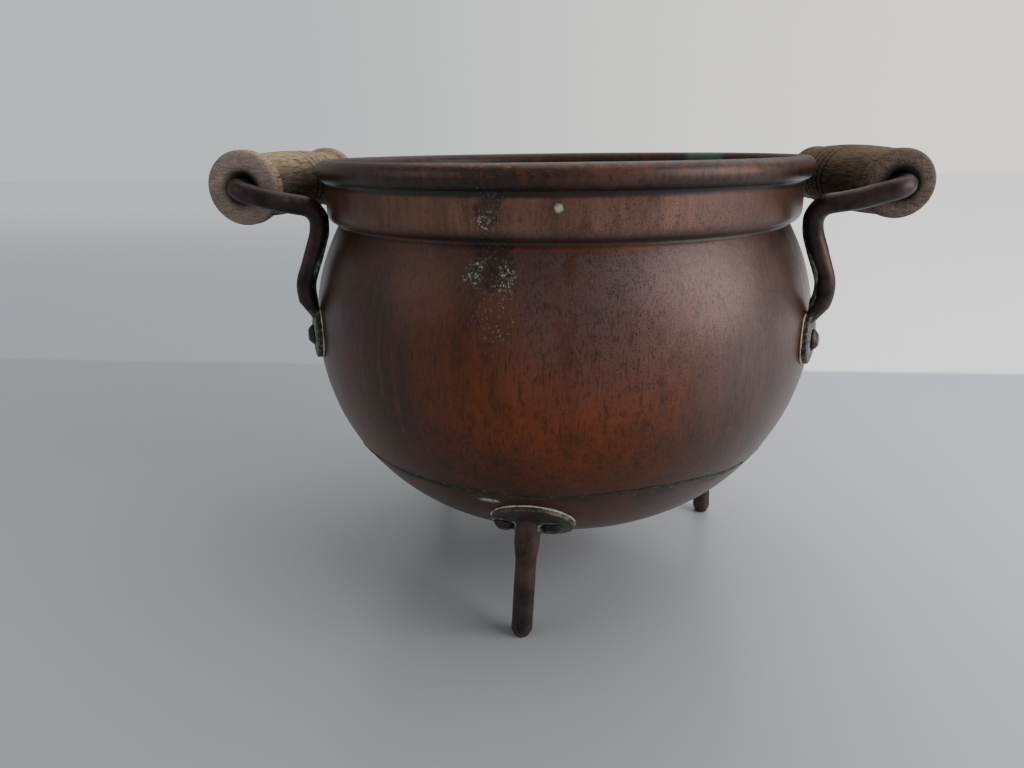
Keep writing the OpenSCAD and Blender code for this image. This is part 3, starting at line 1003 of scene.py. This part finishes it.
def creepBead(name, path, finish):
    # a lumpy bead along a closed path that lies on the belly
    c = creep
    count = len(path)
    verts = []
    for i, spot in enumerate(path):
        ahead = (path[(i + 1) % count] - path[i - 1]).normalized()
        out = (spot - curveCentre(spot)).normalized()
        across = ahead.cross(out).normalized()
        lumps = sum(noise.noise(spot / wave) for wave in c["waves"])
        swell = c["thick"] * (1 + c["vary"] * lumps)
        for k in range(c["sides"]):
            a = 2 * pi * k / c["sides"]
            verts.append((spot + out * cos(a) * swell * c["flat"] + across * sin(a) * swell) * mm)
    piece = addPiece(name, verts, turnedFaces(count, c["sides"], c["sides"]), [finish])
    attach(piece, "pot")


def platePath(turn):
    middle = plateMiddle(turn)
    flat = Vector((cos(radians(turn)), sin(radians(turn)), 0))
    across = Vector((-flat.y, flat.x, 0))
    out = (middle - flat * pot["arcX"] - Vector((0, 0, pot["bellyZ"]))).normalized()
    upward = out.cross(across)
    reach = forging["plateR"] + creep["plateOff"]
    path = []
    for i in range(creep["plateSteps"]):
        a = 2 * pi * i / creep["plateSteps"]
        path.append(onBelly(middle + (across * cos(a) + upward * sin(a)) * reach))
    return path


def footEdge(angle):
    # distance from the rivet to the edge of the leaf-shaped foot, in a direction
    f = foot
    leaf = (f["halfL"] ** 2 + f["halfW"] ** 2) / (2 * f["halfW"])
    off = leaf - f["halfW"]
    reaches = []
    for cx, cy, radius in ((0, off, leaf), (0, -off, leaf), (-f["drop"], 0, f["nose"])):
        along = cx * cos(angle) + cy * sin(angle)
        reaches.append(along + sqrt(along ** 2 + radius ** 2 - cx ** 2 - cy ** 2))
    return min(reaches)


def footPath(middle):
    flat = Vector((middle.x, middle.y, 0)).normalized()
    across = Vector((-flat.y, flat.x, 0))
    down = across.cross((middle - curveCentre(middle)).normalized())
    side = 1 if middle.x * middle.y > 0 else -1
    middle = middle + across * foot["shift"] * side
    path = []
    for i in range(creep["footSteps"]):
        a = 2 * pi * i / creep["footSteps"]
        reach = footEdge(a) + creep["footOff"]
        path.append(onBelly(middle + (down * cos(a) + across * sin(a)) * reach))
    return path


def makeCreep():
    finish = creepFinish()
    for name, turn in zip(("front", "right", "left"), legTurns()):
        creepBead(name + "PlateCrust", platePath(turn), finish)
    for name, middle in zip(("rightRear", "rightFront", "leftRear", "leftFront"), footPlaces()):
        creepBead(name + "FootCrust", footPath(middle), finish)


def gripPlace(node):
    # the middle of a grip across its axis, and half its length
    low, high = cadBoxMm(node)
    return (low[0] + high[0]) / 2, (low[2] + high[2]) / 2, (high[1] - low[1]) / 2


# The turned grips, the left one at -1 and the right one at 1. Sizes are in millimetres.
grip = {
    "at": {-1: gripPlace("left_grip"), 1: gripPlace("right_grip")},
    "endR": {-1: 10.5, 1: 9.1},
    "r": 9.8,
    "bore": 3.15,
    "coveR": 8.9,
    "bead": 5.2,
    "round": 1.5,
    "cove": 4.0,
    "mouthR": 4.6,
    "mouthL": 1.6,
    "groove": 0.75,
    "grooveStep": 4.8,
    "grooveMid": 7.0,
    "grooves": 5,
    "steps": 200,
    "rings": 420,
    "wear": 0.08,            # slow wear of the turned surface, over wearWave
    "wearWave": 6,
    "nicks": 0.02,
    "nickWave": 0.9,
    "checks": 0.05,          # unevenness of the end grain
}

woodLooks = {
    -1: {
        "shadow": (0.050, 0.035, 0.027),
        "grey": (0.105, 0.074, 0.054),
        "tan": (0.200, 0.138, 0.094),
        "paleTan": (0.530, 0.380, 0.245),
        # painted light: the left grip's end grain is painted about 2.5 times paler, standing in for light
        # the lamps barely bring to it
        "endDark": (0.165, 0.126, 0.104),
        "endPale": (0.420, 0.330, 0.275),
    },
    1: {
        "shadow": (0.030, 0.019, 0.012),
        "grey": (0.092, 0.058, 0.035),
        "tan": (0.180, 0.115, 0.066),
        "paleTan": (0.250, 0.165, 0.095),
        "endDark": (0.062, 0.042, 0.032),
        "endPale": (0.260, 0.190, 0.150),
    },
}

woodGrains = {
    "fibre": {"stretch": (1, 0.06, 1), "noise": (2.4, 4, 0.6)},
    "coarse": {"stretch": (1, 0.06, 1), "noise": (0.35, 3, 0.5)},
    "endPores": {"noise": (2.6, 4, 0.72)},
    "endFibre": {"stretch": (0.35, 1, 1.4), "shift": (3, 0, 5), "noise": (1.6, 4, 0.65)},
}

# darker in the turned grooves
grooveDark = (0.020, 0.013, 0.009)
# painted shadow in the bore round the rod
boreShadow = (0.014, 0.010, 0.008)


def grooveMask(y, ringAt):
    # 1 in the turned grooves
    away = y - grip["grooveMid"]
    wave = (away * (2 * pi / grip["grooveStep"])).cosine().fade(0.62, 0.92)
    reach = grip["grooveStep"] * (grip["grooves"] - 1) / 2
    return wave * away.absolute().fade(reach + 2, reach + 1.2) * (ringAt - grip["coveR"] + 1).fade(-0.5, 0.5)


def woodFinish(name, side):
    # weathered turned wood, its grain running along the grip
    c = woodLooks[side]
    finish, shader, place = newFinish(name, {"Metallic": 0.0, "Specular IOR Level": 0.25})
    g = grainsOf(place, woodGrains)
    gripX, gripZ, half = grip["at"][side]
    x, y, z = place.parts()
    dx = x - gripX
    dz = z - gripZ
    ringAt = (dx * dx + dz * dz).root()
    color = g["fibre"].ramp((0.36, c["shadow"]), (0.48, c["grey"]), (0.66, c["tan"]))
    color = (g["coarse"].fade(0.52, 0.70) * 0.35).over(color, c["shadow"])
    # paler on top
    top = (z - gripZ).fade(2.5, grip["r"])
    color = (top * g["fibre"].fade(0.30, 0.55) * 0.85).over(color, c["paleTan"])
    # end grain: short fibres across the pale end
    end = (y.absolute() - (half - 1.2)).fade(0, 0.7)
    endTone = g["endPores"] * 0.55 + g["endFibre"] * 0.45
    color = end.over(color, endTone.ramp((0.38, c["endDark"]), (0.62, c["endPale"])))
    # the turned edges have worn pale
    edge = (y.absolute() - (half - 2.6)).absolute().fade(2.4, 0.8)
    edge = edge * (ringAt - grip["endR"][side] + 0.6).fade(-0.4, 0.3)
    color = (edge * g["fibre"].fade(0.35, 0.6) * 0.5).over(color, c["paleTan"])
    # darker in the turned grooves
    color = (grooveMask(y, ringAt) * 0.9).over(color, grooveDark)
    # painted shadow in the bore round the rod
    bore = (ringAt - grip["bore"] - 1.5).fade(2.2, -0.6)
    color = (bore * 0.85).over(color, boreShadow)
    height = g["fibre"] * 0.6 + end * g["endPores"]
    finishWith(shader, place, color, 0.72 + g["fibre"] * 0.15, height, 0.11)
    return finish


def grooveDip(t):
    # how deep the turned grooves are at a place along the grip
    g = grip
    dip = 0.0
    for i in range(g["grooves"]):
        middle = g["grooveMid"] + (i - (g["grooves"] - 1) / 2) * g["grooveStep"]
        away = abs(t - middle)
        if away < g["groove"]:
            dip = max(dip, sqrt(g["groove"] ** 2 - away ** 2) - g["groove"] * 0.3)
    return dip


def gripRadius(side, t):
    # outer radius of a turned grip at a distance t from its middle
    g = grip
    half = g["at"][side][2]
    swellHalf = half - g["bead"] - g["cove"]
    rise = g["r"] - g["coveR"]
    far = abs(t)
    if far <= swellHalf:
        swellR = (swellHalf ** 2 + rise ** 2) / (2 * rise)
        return g["r"] - swellR + sqrt(swellR ** 2 - far ** 2) - grooveDip(t)
    if far < half - g["bead"]:
        return g["coveR"]
    edge = max(half - g["bead"] + g["round"] - far, far - half + g["round"], 0)
    drum = g["endR"][side] - g["round"] + sqrt(g["round"] ** 2 - edge ** 2)
    return max(drum, g["coveR"]) if far < half - 2 else drum


def gripOutline(side):
    # (radius, place along the grip): over the outside from end to end, and back through the bore
    g = grip
    half = g["at"][side][2]
    span = half - 0.02
    throat = half - g["mouthL"]
    shoulder = g["endR"][side] - g["round"]
    points = [(g["mouthR"], -half)]
    points += straight(points[0], (shoulder, -half), 8)
    for i in range(g["rings"] + 1):
        t = -span + 2 * span * i / g["rings"]
        points.append((gripRadius(side, t), t))
    points += straight((shoulder, half), (g["mouthR"], half), 8)
    points.append((g["mouthR"], half))
    points += straight(points[-1], (g["bore"], throat), 4)
    points += [(g["bore"], throat - 2 * throat * i / 20) for i in range(21)]
    points += straight(points[-1], points[0], 4)
    return points


def wornPoint(side, turn, r, y):
    g = grip
    gripX, gripZ, half = g["at"][side]
    spot = Vector((r * cos(turn), y * 0.06, r * sin(turn)))
    if abs(y) > half - 0.4:
        y += g["checks"] * noise.noise(Vector((spot.x, 0, spot.z)) * 1.2)
    if r > g["bore"] + 0.2:
        wear = g["wear"] * noise.noise(spot / g["wearWave"] + Vector((side * 9, 0, 0)))
        r += wear + g["nicks"] * noise.noise(spot / g["nickWave"]) * min(1, (r - g["bore"]) / 3)
    return (gripX + r * cos(turn)) * mm, y * mm, (gripZ + r * sin(turn)) * mm


def woodGrip(side, name, node, body):
    outline = gripOutline(side)
    steps = grip["steps"]
    verts = [wornPoint(side, 2 * pi * step / steps, r, y) for step in range(steps) for r, y in outline]
    faces = turnedFaces(steps, len(outline), len(outline))
    piece = addPiece(name, verts, faces, [woodFinish(name + "Wood", side)])
    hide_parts(node)
    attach(piece, body)


def makeGrips():
    woodGrip(-1, "leftTurnedGrip", "left_grip", "left_grip_body")
    woodGrip(1, "rightTurnedGrip", "right_grip", "right_grip_body")


# The pale floor, near and beyond the line where it meets the wall. Places are in millimetres.
floorLook = {
    "half": 3000,
    "farFrom": 215,
    "horizon": 1600,
    "eyeBack": 245,          # how far in front of the pot the sides are seen from
    "eyeSpread": 0.42,
    # painted light: the right-hand colours are paler and bluer, standing in for the window light that falls
    # on the right
    "nearLeft": (0.495, 0.510, 0.528),
    "nearRight": (0.860, 0.910, 0.980),
    "farLeft": (0.500, 0.540, 0.580),
    "farRight": (0.980, 0.980, 0.975),
    "brushed": (0.36, 0.37, 0.39),
    "unlit": (0.0, 0.0, 0.0),
    "glowLeft": (0.020, 0.020, 0.020),
    "glowRight": (0.460, 0.460, 0.455),
    "glowFar": (0.560, 0.550, 0.530),
    "glowHorizon": (0.270, 0.268, 0.262),
}


def floorFinish():
    f = floorLook
    finish, shader, place = newFinish("paleFloor", {"Metallic": 0.0, "Specular IOR Level": 0.5,
                                                    "Emission Strength": 1.0})
    x, y, z = place.parts()
    beyond = (y - f["farFrom"]).fade(-4, 6)
    brush = place.stretched((0.6, 0.05, 1)).grain(0.05, 4, 0.5)
    right = (x / (y + f["eyeBack"])).fade(-f["eyeSpread"], f["eyeSpread"])
    # painted light: the floor is painted paler towards the right, near the pot and beyond the line
    near = (x + y * 0.5).fade(-90, 290).over(f["nearLeft"], f["nearRight"])
    color = beyond.over(near, right.over(f["farLeft"], f["farRight"]))
    color = (brush * 0.06).over(color, f["brushed"])
    # the wall behind is brighter than the light on the floor alone would make it
    closer = right.over(f["glowLeft"], f["glowRight"])
    farther = right.over(f["glowHorizon"], f["glowFar"])
    paintedGlow = beyond.over(f["unlit"], y.fade(f["farFrom"], f["horizon"]).over(closer, farther))
    place.tree.links.new(paintedGlow.socket, shader.inputs["Emission Color"])
    finishWith(shader, place, color, 0.26 + brush * 0.10 + beyond * 0.5, brush, 0.02)
    return finish


def makeFloor():
    half = floorLook["half"] * mm
    corners = [(-half, -half, 0), (half, -half, 0), (half, half, 0), (-half, half, 0)]
    floor = addPiece("paleFloor", corners, [(0, 1, 2, 3)], [floorFinish()])


# The light, with places in metres: a large window lamp, a weak one on the left, and daylight.
daylight = {
    "lamps": {
        "window": {"at": (1.10, -0.40, 0.55), "size": 0.90, "watts": 9.5, "shade": (1.0, 0.99, 0.98)},
        "leftFill": {"at": (-1.10, -0.60, 0.60), "size": 0.80, "watts": 1.5, "shade": (0.94, 0.97, 1.0)},
    },
    "aim": (0, 0, 0.08),
    "skyStrength": 1.25,
    "skySpread": 75,
    "skyFrom": (0.25, 0.45, 1.0),
    "roomLeft": (0.64, 0.68, 0.70),
    "roomRight": (1.30, 1.26, 1.20),
    "roomLight": (0.27, 0.275, 0.28),
}


def addLamp(name, data, towards, spot=(0, 0, 0)):
    lamp = bpy.data.objects.new(name, data)
    lamp.location = spot
    lamp.rotation_euler = towards.to_track_quat("-Z", "Y").to_euler()
    bpy.context.scene.collection.objects.link(lamp)


def makeLamps():
    for name, lamp in daylight["lamps"].items():
        data = bpy.data.lights.new(name, "AREA")
        data.shape = "SQUARE"
        data.size = lamp["size"]
        data.energy = lamp["watts"]
        data.color = lamp["shade"]
        addLamp(name, data, Vector(daylight["aim"]) - Vector(lamp["at"]), lamp["at"])
    data = bpy.data.lights.new("daylight", "SUN")
    data.energy = daylight["skyStrength"]
    data.angle = radians(daylight["skySpread"])
    addLamp("daylight", data, -Vector(daylight["skyFrom"]))


def makeRoom():
    # the room is brighter to the right, and lights the pot more weakly than it looks
    world = bpy.data.worlds.new("paleRoom")
    world.use_nodes = True
    start = Wire(world.node_tree)
    seen = start.node("ShaderNodeLightPath", out=0)
    across = start.node("ShaderNodeTexCoord", out=0).parts()[0]
    spread = floorLook["eyeSpread"]
    wall = across.fade(-spread, spread).over(daylight["roomLeft"], daylight["roomRight"])
    shade = seen.over(daylight["roomLight"], wall)
    world.node_tree.links.new(shade.socket, world.node_tree.nodes["Background"].inputs["Color"])
    bpy.context.scene.world = world


makePot()
print("pot made")
makeForgings()
print("forgings made")
makeCreep()
print("crusts made")
makeGrips()
print("grips made")
makeFloor()
makeLamps()
makeRoom()
print("studio made")
